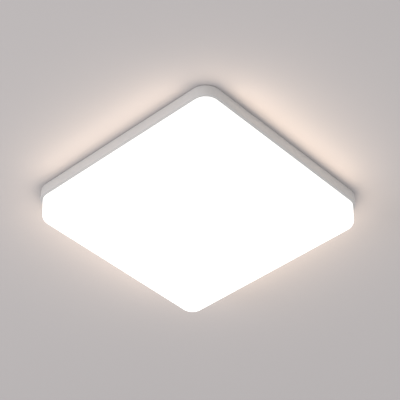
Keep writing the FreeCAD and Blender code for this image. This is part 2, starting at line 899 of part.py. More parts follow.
# ---- Supply terminal ----
def wire_entry(x):
    """The solid of a square wire entry with its funnel, on the supply side of a pole."""
    supply_face = terminal_centre_y - terminal_width / 2
    half = wire_entry_size / 2
    z = terminal_lead_height
    hole = block(x - half, x + half, supply_face, terminal_centre_y, z - half, z + half)
    mouth = wire_entry_mouth / 2
    funnel = Part.makeWedge(
        x - mouth, supply_face, z - mouth, z - half, x - half,
        x + mouth, supply_face + wire_entry_depth, z + mouth, z + half, x + half,
    )
    return hole.fuse(funnel)


def make_terminal_housing():
    """The three-pole terminal: a moulded block with a chamber, a button well and wire holes a pole."""
    cx = terminal_centre_x
    cy = terminal_centre_y
    body = centred_block(cx, cy, terminal_length, terminal_width, terminal_bottom, tray_bottom)
    body = body.makeChamfer(terminal_edge_bevel, upright_edges(body) + edges_at(body, terminal_bottom))
    body = fused([body] + [snap_foot(*place) for place in terminal_foot_places()])
    chamber_length = busbar_length + 2 * busbar_clearance
    chamber_width = busbar_width + 2 * busbar_clearance
    well_length = button_length + 2 * button_clearance
    well_width = button_width + 2 * button_clearance
    shoulder_length = well_length + 2 * button_shoulder
    shoulder_bottom = button_top - button_shoulder_height - button_clearance
    lamp_face = cy + terminal_width / 2
    half_hole = lead_radius + lead_hole_clearance
    low = terminal_lead_height - half_hole
    high = terminal_lead_height + half_hole
    cuts = []
    for pole in range(3):
        x = pole_x(pole)
        cuts.append(centred_block(x, cy, chamber_width, chamber_length, busbar_bottom, tray_bottom))
        cuts.append(centred_block(x, cy, well_width, shoulder_length, shoulder_bottom, busbar_bottom))
        cuts.append(centred_block(x, cy, well_width, well_length, terminal_bottom, shoulder_bottom))
        cuts.append(wire_entry(x))
        cuts.append(block(x - half_hole, x + half_hole, cy, lamp_face, low, high))
    return body.cut(cuts)


def make_terminal_bars():
    """The three contact bars, each on the ledge of its chamber."""
    cy = terminal_centre_y
    return [
        centred_block(pole_x(pole), cy, busbar_width, busbar_length, busbar_bottom, busbar_top)
        for pole in range(3)
    ]


def make_button(pole):
    """A release button: a shoulder that keeps it in, and a slot across its end for a screwdriver."""
    x = pole_x(pole)
    cy = terminal_centre_y
    stem = centred_block(x, cy, button_width, button_length, button_bottom, button_top)
    shoulder_length = button_length + 2 * button_shoulder
    shoulder = centred_block(
        x, cy, button_width, shoulder_length, button_top - button_shoulder_height, button_top
    )
    slot = centred_block(
        x, cy, button_width, button_slot_width, button_bottom, button_bottom + button_slot_depth
    )
    return fused([stem, shoulder]).cut(slot)


def make_button_spring(pole):
    """A folded leaf between the contact bar and the button's top."""
    x = pole_x(pole)
    cy = terminal_centre_y
    high = busbar_bottom - pocket_clearance - button_spring_thickness / 2
    low = button_top + button_clearance + button_spring_thickness / 2
    front = cy - button_spring_length / 2
    back = cy + button_spring_length / 2
    path = [Vector(x, front, high), Vector(x, back, (high + low) / 2), Vector(x, front, low)]
    width_axis = Vector(1, 0, 0)
    return bent_strip(path, button_spring_thickness, [button_spring_bend], width_axis, button_spring_width)


# ---- Ground spade and leads ----
def make_ground_spade():
    """The push-on connector on the tray's ground tab, with rolled edges and a crimped barrel."""
    x = pole_x(2)
    start = spade_start()
    end = start + spade_length
    half = tab_width / 2 + spade_fit + spade_wall
    low = tab_bottom - spade_fit - spade_wall
    high = tab_top + spade_fit + spade_wall
    barrel_start = start - spade_barrel_length
    z = spade_lead_height
    body = block(x - half, x + half, start, end, low, high)
    grip = block(
        x - half + spade_wall, x + half - spade_wall, start, end,
        tab_bottom - spade_fit, tab_top + spade_fit,
    )
    roll_gap = block(x - spade_roll_gap / 2, x + spade_roll_gap / 2, start, end, z, high)
    barrel = block(
        x - spade_barrel_half, x + spade_barrel_half, barrel_start, start,
        z - spade_barrel_half, z + spade_barrel_half,
    )
    neck = block(
        x - spade_neck_half, x + spade_neck_half, start - spade_wall, start + spade_wall,
        z - spade_barrel_half, low + spade_wall,
    )
    bore_half = lead_radius + pocket_clearance
    bore = block(x - bore_half, x + bore_half, barrel_start, start, z - bore_half, z + bore_half)
    return fused([body.cut([grip, roll_gap]), barrel.cut(bore), neck])


def lead_start():
    """Where the leads on the lamp side of the terminal begin, just clear of the button's well."""
    return terminal_centre_y + button_length / 2 + button_shoulder + 2 * button_clearance


def make_supply_lead(pole):
    """A lead from the terminal to the driver, with an easy double bend."""
    x0 = pole_x(pole)
    x1 = input_places()[pole]
    out = terminal_centre_y + terminal_width / 2 + lead_straight
    inside = driver_centre_y - driver_width / 2
    end = driver_centre_y - driver_board_half()[1]
    points = [
        Vector(x0, lead_start(), terminal_lead_height),
        Vector(x0, out, terminal_lead_height),
        Vector(x1, inside - lead_straight, driver_lead_height),
        Vector(x1, end, driver_lead_height),
    ]
    return insulated_lead(points, lead_bend)


def make_ground_lead():
    """The lead from the terminal's ground pole up to the spade on the tray's tab."""
    x = pole_x(2)
    face = terminal_centre_y + terminal_width / 2
    barrel_start = spade_start() - spade_barrel_length
    third = (barrel_start - face) / 3
    points = [
        Vector(x, lead_start(), terminal_lead_height),
        Vector(x, face + third, terminal_lead_height),
        Vector(x, barrel_start - third, spade_lead_height),
        Vector(x, spade_start() - spade_wall - pocket_clearance, spade_lead_height),
    ]
    return insulated_lead(points, ground_lead_bend)


def make_led_lead(side_sign):
    """A lead from the driver to the light board's connector, up over the board's edge."""
    offset = side_sign * output_pitch / 2
    connector_face = board_inner_half + connector_from_edge
    end = connector_face + connector_length / 2 - lead_hole_clearance
    points = [
        Vector(driver_board_half()[0], driver_centre_y + offset, driver_lead_height),
        Vector(driver_length / 2 + lead_straight, driver_centre_y + offset, driver_lead_height),
        Vector(connector_face - lead_straight, connector_y() + offset, led_lead_height),
        Vector(end, connector_y() + offset, led_lead_height),
    ]
    return insulated_lead(points, lead_bend)


# ---- All the pieces, each under its own name ----
def all_pieces():
    """Every piece of the light as a name with a shape, or a list of like shapes."""
    pieces = {
        "mounting_bar": make_mounting_bar(),
        "base_pan": make_base_pan(),
        "pan_screws": make_pan_screws(),
        "wire_grommet": make_wire_grommet(),
        "cover_seal": make_cover_seal(),
        "cover_springs": make_cover_springs(),
        "diffuser": make_diffuser(),
        "gear_tray": make_gear_tray(),
        "led_board": make_led_board(),
        "board_screws": make_board_screws(),
        "led_chips": make_led_chips(),
        "board_connector": make_board_connector(),
        "driver_base": make_driver_base(),
        "driver_cover": make_driver_cover(),
        "driver_board": make_driver_board(),
        "driver_transformer": make_driver_transformer(),
        "driver_capacitors": make_driver_capacitors(),
        "driver_choke": make_driver_choke(),
        "driver_chips": make_driver_chips(),
        "driver_terminals": make_driver_terminals(),
        "terminal_housing": make_terminal_housing(),
        "terminal_bars": make_terminal_bars(),
        "ground_spade": make_ground_spade(),
        "ground_lead": make_ground_lead(),
        "led_lead_positive": make_led_lead(1),
        "led_lead_negative": make_led_lead(-1),
    }
    for pole, name in enumerate(("line", "neutral", "ground")):
        pieces[name + "_button"] = make_button(pole)
        pieces[name + "_spring"] = make_button_spring(pole)
    for pole, name in enumerate(("line", "neutral")):
        pieces[name + "_lead"] = make_supply_lead(pole)
    return pieces


def main():
    """Write each piece to its own file."""
    os.makedirs("parts", exist_ok=True)
    for name, shape in all_pieces().items():
        if isinstance(shape, list):
            shape = Part.makeCompound(shape)
        if not shape.isValid():
            raise ValueError(f"{name} is not a valid shape")
        print(f"{name}: {len(shape.Solids)} solids, {shape.Volume:.1f} mm3")
        shape.exportStep(f"parts/{name}.step")


main()
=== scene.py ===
"""Square flush mount ceiling light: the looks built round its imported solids, and the stage.

Metres. The ceiling is the plane z = 0 and the light hangs below it, so heights are negative.
"""

import functools
import json
import math

import bmesh
import bpy
from mathutils import Matrix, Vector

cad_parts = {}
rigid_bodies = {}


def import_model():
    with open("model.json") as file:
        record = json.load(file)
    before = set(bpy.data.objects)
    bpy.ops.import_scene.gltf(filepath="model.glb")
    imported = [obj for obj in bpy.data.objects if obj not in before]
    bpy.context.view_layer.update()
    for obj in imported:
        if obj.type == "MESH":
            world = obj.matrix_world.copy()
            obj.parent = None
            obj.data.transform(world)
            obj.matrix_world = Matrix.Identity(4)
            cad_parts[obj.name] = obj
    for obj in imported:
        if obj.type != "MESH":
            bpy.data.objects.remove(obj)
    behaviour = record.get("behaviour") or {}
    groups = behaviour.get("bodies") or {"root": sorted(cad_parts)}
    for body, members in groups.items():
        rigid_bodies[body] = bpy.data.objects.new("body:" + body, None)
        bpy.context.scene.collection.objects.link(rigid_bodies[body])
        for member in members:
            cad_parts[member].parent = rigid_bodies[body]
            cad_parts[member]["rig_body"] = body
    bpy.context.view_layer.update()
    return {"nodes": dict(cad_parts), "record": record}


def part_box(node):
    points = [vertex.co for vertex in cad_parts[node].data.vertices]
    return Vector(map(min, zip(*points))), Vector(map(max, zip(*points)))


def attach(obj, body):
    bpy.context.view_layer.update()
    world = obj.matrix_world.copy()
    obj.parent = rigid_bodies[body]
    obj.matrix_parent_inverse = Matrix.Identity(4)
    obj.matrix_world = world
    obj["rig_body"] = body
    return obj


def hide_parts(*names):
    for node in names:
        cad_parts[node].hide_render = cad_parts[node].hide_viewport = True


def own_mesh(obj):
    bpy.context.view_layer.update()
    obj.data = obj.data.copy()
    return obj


bl_info = {
    "name": "Square Ceiling Light",
    "version": (1, 0, 0),
    "blender": (4, 5, 0),
    "location": "3D View > Sidebar > Ceiling Light",
    "description": "Builds the pieces, the finishes and the stage of a square flush mount ceiling light",
    "category": "Object",
}

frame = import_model()
solids = frame["nodes"]
slot_colors = {m["slot"]: m["base_color"] for m in frame["record"]["materials"]}
slot_of = {s["node"]: s["material_slot"] for s in frame["record"]["subparts"]}
poles = ("line", "neutral", "ground")
chip_rows = ((0.103, 7), (0.089, 5))
chip_pitch = 0.028


# ---- Sizes and colours that a user would change ----
def vector_property(name, description, default, subtype, **more):
    """Three numbers of a kind."""
    return bpy.props.FloatVectorProperty(
        name=name, description=description, default=default, size=3, subtype=subtype, **more
    )


def color_property(name, description, default):
    """A colour in scene linear light."""
    return vector_property(name, description, default, "COLOR", min=0.0, max=1.0)


def length_property(name, description, default):
    """A length in metres."""
    return bpy.props.FloatProperty(
        name=name, description=description, default=default, min=0.0, unit="LENGTH", precision=5
    )


def number_property(name, description, default):
    """A plain number."""
    return bpy.props.FloatProperty(name=name, description=description, default=default, min=0.0)


class LightColors(bpy.types.PropertyGroup):
    """Colours of the light's finishes and of the light itself."""

    glow: color_property("Glow", "Colour of the light that the opal cover sends out", (1.0, 0.965, 0.93))
    glow_strength: number_property("Glow strength", "How strongly the opal cover glows", 0.8)
    inside_strength: number_property("Inner glow", "How strongly the cover's inside glows", 0.35)
    chip_strength: number_property("Chip glow", "How strongly the light chips glow", 0.55)
    pan: color_property("Pan", "Moulded base pan", slot_colors["pan_plastic"])
    tray: color_property("Tray", "Powder coat of the gear tray", (0.72, 0.72, 0.71))
    mask: color_property("Board mask", "Solder mask of the light board", (0.76, 0.76, 0.75))
    case: color_property("Driver case", "Moulded driver case", (0.66, 0.66, 0.65))
    terminal: color_property("Terminal", "Moulded supply terminal", slot_colors["terminal_plastic"])
    zinc: color_property("Zinc", "Zinc coat of the ceiling bar", slot_colors["zinc_steel"])


class LightDetails(bpy.types.PropertyGroup):
    """Sizes of the light's small details."""

    ease: length_property("Edge ease", "Radius of the eased edges of moulded pieces", 0.00025)
    fold_ease: length_property("Fold ease", "Radius of the eased edges of sheet metal", 0.00012)
    lead_diameter: length_property("Lead diameter", "Over the insulation", 0.0018)
    thread_pitch: length_property("Thread pitch", "Of the pan screws; the board screws' is finer", 0.0011)
    grain: length_property("Moulded grain", "Size of the fine texture of moulded pieces", 0.0004)


class StageSettings(bpy.types.PropertyGroup):
    """The ceiling, the lamps and the camera."""

    ceiling: color_property("Ceiling", "Paint of the ceiling", (0.475, 0.443, 0.438))
    key_strength: number_property("Key light", "Power of the soft light from the left, in watts", 21.0)
    halo: color_property("Halo", "Colour of the light's glow on the ceiling", (1.0, 0.80, 0.60))
    halo_strength: number_property("Halo strength", "Power of the ceiling's glow, in watts a metre", 0.48)
    sky_strength: number_property("Sky", "Strength of the even light all round", 0.95)
    camera_place: vector_property(
        "Camera place", "Where the camera stands", (-1.143728, -1.019208, -1.289955), "TRANSLATION",
        unit="LENGTH",
    )
    camera_turn: vector_property(
        "Camera turn", "The camera's rotation", (2.266884, 0.013526, -0.832865), "EULER", unit="ROTATION",
    )
    lens: bpy.props.FloatProperty(
        name="Lens", description="Focal length in millimetres", default=139.189, min=1.0, unit="CAMERA"
    )


class CeilingLightSettings(bpy.types.PropertyGroup):
    """All the settings of the ceiling light."""

    colors: bpy.props.PointerProperty(type=LightColors)
    details: bpy.props.PointerProperty(type=LightDetails)
    stage: bpy.props.PointerProperty(type=StageSettings)


# ---- Shader node helpers ----
def set_input(tree, socket, value):
    """Give an input a value, or link it from a socket; a colour is solid."""
    if isinstance(value, bpy.types.NodeSocket):
        tree.links.new(value, socket)
    elif socket.type == "RGBA":
        socket.default_value = (*value[:3], 1.0)
    else:
        socket.default_value = value


def add_node(tree, kind, inputs=None, **settings):
    """A new shader node; an input is a value, or a socket to link from."""
    made = tree.nodes.new(kind)
    for name, value in settings.items():
        setattr(made, name, value)
    for name, value in (inputs or {}).items():
        set_input(tree, made.inputs[name], value)
    return made


def node_of(tree, kind):
    """The tree's first node of a kind."""
    return next(n for n in tree.nodes if n.bl_idname == kind)


def math_node(tree, operation, *values):
    """One step of arithmetic on values or sockets."""
    return add_node(tree, "ShaderNodeMath", dict(enumerate(values)), operation=operation).outputs[0]


def plus(tree, first, second):
    """A sum."""
    return math_node(tree, "ADD", first, second)


def times(tree, first, second):
    """A product."""
    return math_node(tree, "MULTIPLY", first, second)


def swing(tree, value, depth):
    """A texture's swing about its middle, times a depth."""
    return times(tree, plus(tree, value, -0.5), depth)


def blend_color(tree, factor, first, second, kind="MIX"):
    """Two colours mixed by a factor."""
    inputs = {0: factor, 6: first, 7: second}
    return add_node(tree, "ShaderNodeMix", inputs, data_type="RGBA", blend_type=kind).outputs[2]


def shaded(tree, color, level):
    """A colour made lighter or darker by a level."""
    grey = add_node(tree, "ShaderNodeCombineColor", {"Red": level, "Green": level, "Blue": level})
    return blend_color(tree, 1.0, color, grey.outputs[0], "MULTIPLY")


def remap(tree, value, low, high, start=0.0, end=1.0, easing="LINEAR"):
    """A value that runs from start to end, stretched to run from low to high."""
    inputs = {"Value": value, "From Min": start, "From Max": end, "To Min": low, "To Max": high}
    return add_node(tree, "ShaderNodeMapRange", inputs, interpolation_type=easing).outputs["Result"]


def new_group(name, inputs, outputs):
    """An empty shader node group; an input's kind follows from its default."""
    kinds = {float: "NodeSocketFloat", 3: "NodeSocketVector", 4: "NodeSocketColor"}
    tree = bpy.data.node_groups.new(name, "ShaderNodeTree")
    for label, default in inputs.items():
        kind = kinds[float if isinstance(default, float) else len(default)]
        tree.interface.new_socket(label, in_out="INPUT", socket_type=kind).default_value = default
    for label in outputs:
        kind = kinds[4 if label == "Color" else float]
        tree.interface.new_socket(label, in_out="OUTPUT", socket_type=kind)
    tree.nodes.new("NodeGroupOutput")
    return tree, tree.nodes.new("NodeGroupInput").outputs


def feed(tree, **links):
    """Link sockets to a group's outputs by name, and give the group back."""
    out = node_of(tree, "NodeGroupOutput")
    for label, socket in links.items():
        tree.links.new(socket, out.inputs[label])
    return tree


def object_place(tree):
    """The place on the piece, in metres."""
    return tree.nodes.new("ShaderNodeTexCoord").outputs["Object"]


def axes(tree, vector):
    """The X, Y and Z of a vector."""
    return add_node(tree, "ShaderNodeSeparateXYZ", {"Vector": vector}).outputs


def per_metre(tree, size):
    """The texture scale for a feature of a size in metres."""
    return math_node(tree, "DIVIDE", 1.0, size)


def noise(tree, place, scale, detail=2.0, roughness=0.5, distortion=0.0):
    """Soft noise from 0 to 1."""
    inputs = {
        "Vector": place, "Scale": scale, "Detail": detail, "Roughness": roughness, "Distortion": distortion,
    }
    return add_node(tree, "ShaderNodeTexNoise", inputs).outputs["Fac"]


def show_mixed(tree, factor, first, second, out_kind):
    """Mix two shaders by a factor and link them to the tree's output."""
    mixer = add_node(tree, "ShaderNodeMixShader", {0: factor, 1: first.outputs[0], 2: second.outputs[0]})
    tree.links.new(mixer.outputs[0], node_of(tree, out_kind).inputs["Surface"])


# ---- Effects that several finishes share ----
@functools.cache
def moulded_group():
    """Fine grain and a faint flow mottle, as on injection moulded plastic."""
    tree, given = new_group(
        "moulded grain",
        {
            "Color": (0.8, 0.8, 0.8, 1.0), "Mottle": 0.04, "Grain Size": 0.0004, "Roughness": 0.5,
            "Gloss Change": 0.08,
        },
        ("Color", "Roughness", "Height"),
    )
    place = object_place(tree)
    fine = noise(tree, place, per_metre(tree, given["Grain Size"]), detail=3.0, roughness=0.6)
    broad = noise(tree, place, 22.0, detail=4.0, distortion=0.6)
    mottle = given["Mottle"]
    level = plus(tree, swing(tree, broad, mottle), swing(tree, fine, mottle))
    change = swing(tree, broad, given["Gloss Change"])
    return feed(
        tree,
        Color=shaded(tree, given["Color"], plus(tree, 1.0, level)),
        Roughness=plus(tree, given["Roughness"], change),
        Height=fine,
    )


@functools.cache
def rolled_group():
    """Streaks along a direction, as on cold rolled or drawn metal."""
    tree, given = new_group(
        "rolled streaks",
        {
            "Color": (0.7, 0.7, 0.7, 1.0), "Stretch": (0.03, 1.0, 1.0), "Streak Size": 0.0005, "Depth": 0.25,
            "Roughness": 0.3,
        },
        ("Color", "Roughness", "Height"),
    )
    place = object_place(tree)
    drawn = add_node(tree, "ShaderNodeVectorMath", {0: place, 1: given["Stretch"]}, operation="MULTIPLY")
    streak = noise(tree, drawn.outputs[0], per_metre(tree, given["Streak Size"]), detail=4.0, roughness=0.65)
    stain = swing(tree, noise(tree, place, 60.0, detail=3.0), 0.16)
    streaked = swing(tree, streak, given["Depth"])
    level = plus(tree, 1.0, plus(tree, streaked, stain))
    return feed(
        tree,
        Color=shaded(tree, given["Color"], level),
        Roughness=plus(tree, given["Roughness"], times(tree, streaked, 0.6)),
        Height=streak,
    )


@functools.cache
def dust_group():
    """A thin uneven film of settled dust on faces that look up."""
    tree, given = new_group(
        "settled dust",
        {"Color": (0.8, 0.8, 0.8, 1.0), "Dust": (0.42, 0.39, 0.35, 1.0), "Amount": 0.2},
        ("Color",),
    )
    normal = tree.nodes.new("ShaderNodeNewGeometry").outputs["Normal"]
    upward = math_node(tree, "MAXIMUM", axes(tree, normal)["Z"], 0.0)
    settled = times(tree, upward, noise(tree, object_place(tree), 90.0, detail=6.0))
    mask = times(tree, settled, given["Amount"])
    return feed(tree, Color=blend_color(tree, mask, given["Color"], given["Dust"]))


def effect(tree, group, **inputs):
    """A shared effect placed in a material with that material's own values."""
    made = tree.nodes.new("ShaderNodeGroup")
    made.node_tree = group()
    for label, value in inputs.items():
        set_input(tree, made.inputs[label.replace("_", " ")], value)
    return made.outputs


# ---- Finishes ----
def new_finish(name):
    """A new material, its node tree and its bare Principled shader."""
    material = bpy.data.materials.new(name)
    material.use_nodes = True
    tree = material.node_tree
    return material, tree, node_of(tree, "ShaderNodeBsdfPrincipled")


def skinned(name, group, **inputs):
    """A new finish, and the outputs of the shared effect that is its skin."""
    material, tree, shader = new_finish(name)
    return material, tree, shader, effect(tree, group, **inputs)


def dress(tree, shader, color, roughness, **more):
    """Give a shader its colour, roughness and other inputs, as values or sockets."""
    for name, value in {"Base Color": color, "Roughness": roughness, **more}.items():
        set_input(tree, shader.inputs[name.replace("_", " ")], value)


def set_bump(tree, shader, height, depth, strength=0.5):
    """Bump the surface by a height that is a share of a depth in metres."""
    bump = add_node(tree, "ShaderNodeBump", {"Height": height, "Distance": depth, "Strength": strength})
    tree.links.new(bump.outputs["Normal"], shader.inputs["Normal"])


def moulded_finish(name, color, roughness, mottle, grain=0.0004, depth=0.00003, dust=0.12, coat=0.0):
    """Moulded plastic with its grain, mottle and a breath of dust."""
    material, tree, shader, skin = skinned(
        name, moulded_group, Color=color, Mottle=mottle, Grain_Size=grain, Roughness=roughness
    )
    film = effect(tree, dust_group, Color=skin["Color"], Amount=dust)
    dress(tree, shader, film["Color"], skin["Roughness"], Coat_Weight=coat)
    set_bump(tree, shader, skin["Height"], depth)
    return material


def pan_finish(name, color, grain):
    """Matt moulded pan, with painted shade darkening its lower edge next to the cover."""
    # Painted shade: the colour is darkened along the pan's lower edge, beside the glowing cover.
    rim_top, rim_bottom = -0.0158, -0.0164
    painted_rim_shade = 0.72
    material = moulded_finish(name, color, 0.52, 0.04, grain)
    tree = material.node_tree
    base = node_of(tree, "ShaderNodeBsdfPrincipled").inputs["Base Color"]
    skin = base.links[0].from_socket
    painted_shade_mask = remap(tree, axes(tree, object_place(tree))["Z"], 0.0, 1.0, rim_top, rim_bottom)
    painted_shade_color = [painted_rim_shade * channel for channel in color]
    tree.links.new(blend_color(tree, painted_shade_mask, skin, painted_shade_color), base)
    return material


def rolled_finish(name, color, stretch, roughness, streak, depth):
    """Bright metal with rolling or drawing streaks."""
    material, tree, shader, skin = skinned(
        name, rolled_group, Color=color, Stretch=stretch, Streak_Size=streak, Depth=depth, Roughness=roughness
    )
    dress(tree, shader, skin["Color"], skin["Roughness"], Metallic=1.0)
    set_bump(tree, shader, skin["Height"], 0.00001, 0.4)
    return material


def zinc_finish(name, color):
    """Hot dipped steel with crystal spangle under its rolling streaks."""
    material, tree, shader, skin = skinned(
        name, rolled_group, Color=color, Stretch=(0.05, 1.0, 1.0), Streak_Size=0.0006, Depth=0.12,
        Roughness=0.36,
    )
    place = object_place(tree)
    bend = add_node(tree, "ShaderNodeTexNoise", {"Vector": place, "Scale": 300.0}).outputs["Color"]
    wander = blend_color(tree, 0.004, place, bend)
    crystal = add_node(tree, "ShaderNodeTexVoronoi", {"Vector": wander, "Scale": 190.0}).outputs["Color"]
    tone = add_node(tree, "ShaderNodeSeparateColor", {"Color": crystal}).outputs["Red"]
    dipped = shaded(tree, skin["Color"], remap(tree, tone, 0.72, 1.0))
    film = effect(tree, dust_group, Color=dipped, Amount=0.25)
    rough = plus(tree, skin["Roughness"], times(tree, tone, 0.16))
    dress(tree, shader, film["Color"], rough, Metallic=1.0)
    set_bump(tree, shader, tone, 0.00002, 0.3)
    return material


def opal_finish(name, color, glow, strength):
    """Opal plastic lit from inside, which glows less towards the rim that the pan shades."""
    material, tree, shader, skin = skinned(
        name, moulded_group, Color=color, Mottle=0.02, Grain_Size=0.0006, Roughness=0.34, Gloss_Change=0.05
    )
    rim_bottom, fully_lit, rim_level = -0.0164, -0.0184, 0.2
    height = axes(tree, object_place(tree))["Z"]
    inward = remap(tree, height, rim_level, 1.0, rim_bottom, fully_lit, "SMOOTHSTEP")
    cloud = remap(tree, noise(tree, object_place(tree), 14.0), 0.97, 1.03)
    warm = shaded(tree, glow, times(tree, inward, cloud))
    dress(
        tree, shader, skin["Color"], skin["Roughness"], Emission_Color=warm, Emission_Strength=strength,
        Coat_Weight=0.15,
    )
    set_bump(tree, shader, skin["Height"], 0.00002, 0.3)
    return material


def powder_finish(name, color):
    """Powder coated steel with a soft orange peel."""
    material, tree, shader, skin = skinned(
        name, moulded_group, Color=color, Mottle=0.03, Grain_Size=0.0016, Roughness=0.38, Gloss_Change=0.1
    )
    film = effect(tree, dust_group, Color=skin["Color"], Amount=0.2)
    dress(tree, shader, film["Color"], skin["Roughness"], Coat_Weight=0.2)
    set_bump(tree, shader, skin["Height"], 0.00006, 0.5)
    return material


def board_finish(name, color):
    """White solder mask over copper, with the wide copper runs showing as low ridges."""
    material, tree, shader, skin = skinned(
        name, moulded_group, Color=color, Mottle=0.02, Grain_Size=0.0005, Roughness=0.32, Gloss_Change=0.06
    )
    place = axes(tree, object_place(tree))
    across = [math_node(tree, "ABSOLUTE", place[axis]) for axis in ("X", "Y")]
    reach = math_node(tree, "MAXIMUM", *across)
    along = math_node(tree, "MINIMUM", *across)
    run_half_width, run_half_length = 0.0052, 0.0132
    runs = [math_node(tree, "COMPARE", reach, row, run_half_width) for row, _ in chip_rows]
    joined = math_node(tree, "LESS_THAN", math_node(tree, "PINGPONG", along, chip_pitch / 2), run_half_length)
    copper = times(tree, math_node(tree, "MAXIMUM", *runs), joined)
    tint = blend_color(tree, times(tree, copper, 0.5), skin["Color"], (0.80, 0.79, 0.75))
    dress(tree, shader, tint, skin["Roughness"], Coat_Weight=0.25)
    relief = plus(tree, copper, times(tree, skin["Height"], 0.1))
    set_bump(tree, shader, relief, 0.00005)
    return material


def foam_finish(name, color):
    """Closed cell foam with fine open pores at its cut skin, the pores darkened with painted shade."""
    material, tree, shader, skin = skinned(
        name, moulded_group, Color=color, Mottle=0.12, Grain_Size=0.0009, Roughness=0.9
    )
    pores = {"Vector": object_place(tree), "Scale": 1800.0}
    cells = add_node(tree, "ShaderNodeTexVoronoi", pores).outputs["Distance"]
    # Painted shade: the colour is darkened towards the middle of each pore, as if its hollow were in shade.
    painted_pore_shade = remap(tree, cells, 0.55, 1.0, 0.1, 0.4)
    dress(tree, shader, shaded(tree, skin["Color"], painted_pore_shade), skin["Roughness"])
    set_bump(tree, shader, cells, 0.0002, 0.6)
    return material


def phosphor_finish(name, color, strength):
    """Yellow phosphor in clear resin, faintly lit."""
    material, tree, shader, skin = skinned(
        name, moulded_group, Color=color, Mottle=0.1, Grain_Size=0.0002, Roughness=0.25
    )
    glow = blend_color(tree, 0.4, skin["Color"], (1.0, 0.92, 0.74))
    dress(
        tree, shader, skin["Color"], skin["Roughness"], Emission_Color=glow, Emission_Strength=strength,
        Coat_Weight=0.4,
    )
    set_bump(tree, shader, skin["Height"], 0.00001, 0.3)
    return material


def circuit_finish(name, color):
    """A solder masked circuit board with copper runs between rows of joints."""
    material, tree, shader, skin = skinned(
        name, moulded_group, Color=color, Mottle=0.1, Grain_Size=0.0004, Roughness=0.35
    )
    cells = add_node(
        tree, "ShaderNodeTexBrick",
        {
            "Vector": object_place(tree), "Scale": 220.0, "Mortar Size": 0.12, "Mortar Smooth": 0.1,
            "Color1": (0.0, 0.0, 0.0), "Color2": (0.0, 0.0, 0.0), "Mortar": (1.0, 1.0, 1.0),
        },
    ).outputs["Fac"]
    lighter = times(tree, cells, 0.35)
    tint = blend_color(tree, lighter, skin["Color"], (0.25, 0.55, 0.3))
    dress(tree, shader, tint, skin["Roughness"], Coat_Weight=0.3)
    set_bump(tree, shader, cells, 0.00004)
    return material


@functools.cache
def finish(slot):
    """The finish of a material slot, made once."""
    settings = bpy.context.scene.ceiling_light
    colors, grain, plain = settings.colors, settings.details.grain, slot_colors[slot]
    own_looks = {
        "opal_plastic": lambda: opal_finish(slot, plain, colors.glow, colors.glow_strength),
        "phosphor": lambda: phosphor_finish(slot, plain, colors.chip_strength),
        "zinc_steel": lambda: zinc_finish(slot, colors.zinc),
        "white_steel": lambda: powder_finish(slot, colors.tray),
        "board_white": lambda: board_finish(slot, colors.mask),
        "circuit_board": lambda: circuit_finish(slot, plain),
        "seal_foam": lambda: foam_finish(slot, plain),
        "pan_plastic": lambda: pan_finish(slot, colors.pan, grain),
        "case_plastic": lambda: moulded_finish(slot, colors.case, 0.5, 0.05, grain),
        "terminal_plastic": lambda: moulded_finish(slot, colors.terminal, 0.42, 0.05, grain),
    }
    if slot in own_looks:
        return own_looks[slot]()
    if slot in metal_looks:
        return rolled_finish(slot, plain, *metal_looks[slot])
    return moulded_finish(slot, plain, *moulded_looks[slot])


# Stretch of the streaks, roughness, size of a streak and its depth.
metal_looks = {
    "screw_steel": ((1.0, 1.0, 0.3), 0.3, 0.0008, 0.25),
    "spring_steel": ((1.0, 1.0, 0.05), 0.24, 0.0004, 0.3),
    "brass_bar": ((1.0, 0.05, 1.0), 0.28, 0.0004, 0.25),
    "tinned_brass": ((1.0, 0.1, 1.0), 0.32, 0.0006, 0.2),
}
# Roughness, mottle, size of the grain, its depth, dust and coat.
moulded_looks = {
    "black_rubber": (0.62, 0.3, 0.0006, 0.00004, 0.4),
    "connector_plastic": (0.42, 0.06),
    "winding_tape": (0.36, 0.14, 0.0008),
    "can_sleeve": (0.24, 0.1, 0.0005, 0.00001, 0.1, 0.4),
    "choke_black": (0.5, 0.12),
    "button_black": (0.4, 0.1),
    "button_white": (0.4, 0.05),
    "button_green": (0.4, 0.08),
    "lead_black": (0.34, 0.12, 0.0008),
    "lead_white": (0.34, 0.05, 0.0008),
    "lead_green": (0.34, 0.08, 0.0008),
    "lead_red": (0.34, 0.08, 0.0008),
}


# ---- Shape helpers ----
def body_of(node):
    """The body that a node rides on."""
    return solids[node]["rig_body"]


def put_piece(name, shape, node, extra_slots=()):
    """A mesh or curve placed as a piece that stands for a node, in its finishes, and riding its body."""
    slot = slot_of[node]
    for each in (slot, *extra_slots):
        shape.materials.append(finish(each))
    piece = bpy.data.objects.new(name, shape)
    bpy.context.scene.collection.objects.link(piece)
    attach(piece, body_of(node))
    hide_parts(node)
    return piece


def plain_mesh(bm, name):
    """A mesh from a working mesh, as it is."""
    mesh = bpy.data.meshes.new(name)
    bm.to_mesh(mesh)
    bm.free()
    return mesh


def mesh_from(bm, name, smooth_angle=35.0):
    """A mesh from a working mesh, smooth but for its sharp edges."""
    bmesh.ops.recalc_face_normals(bm, faces=bm.faces)
    mesh = plain_mesh(bm, name)
    mesh.shade_smooth()
    mesh.set_sharp_from_angle(angle=math.radians(smooth_angle))
    return mesh


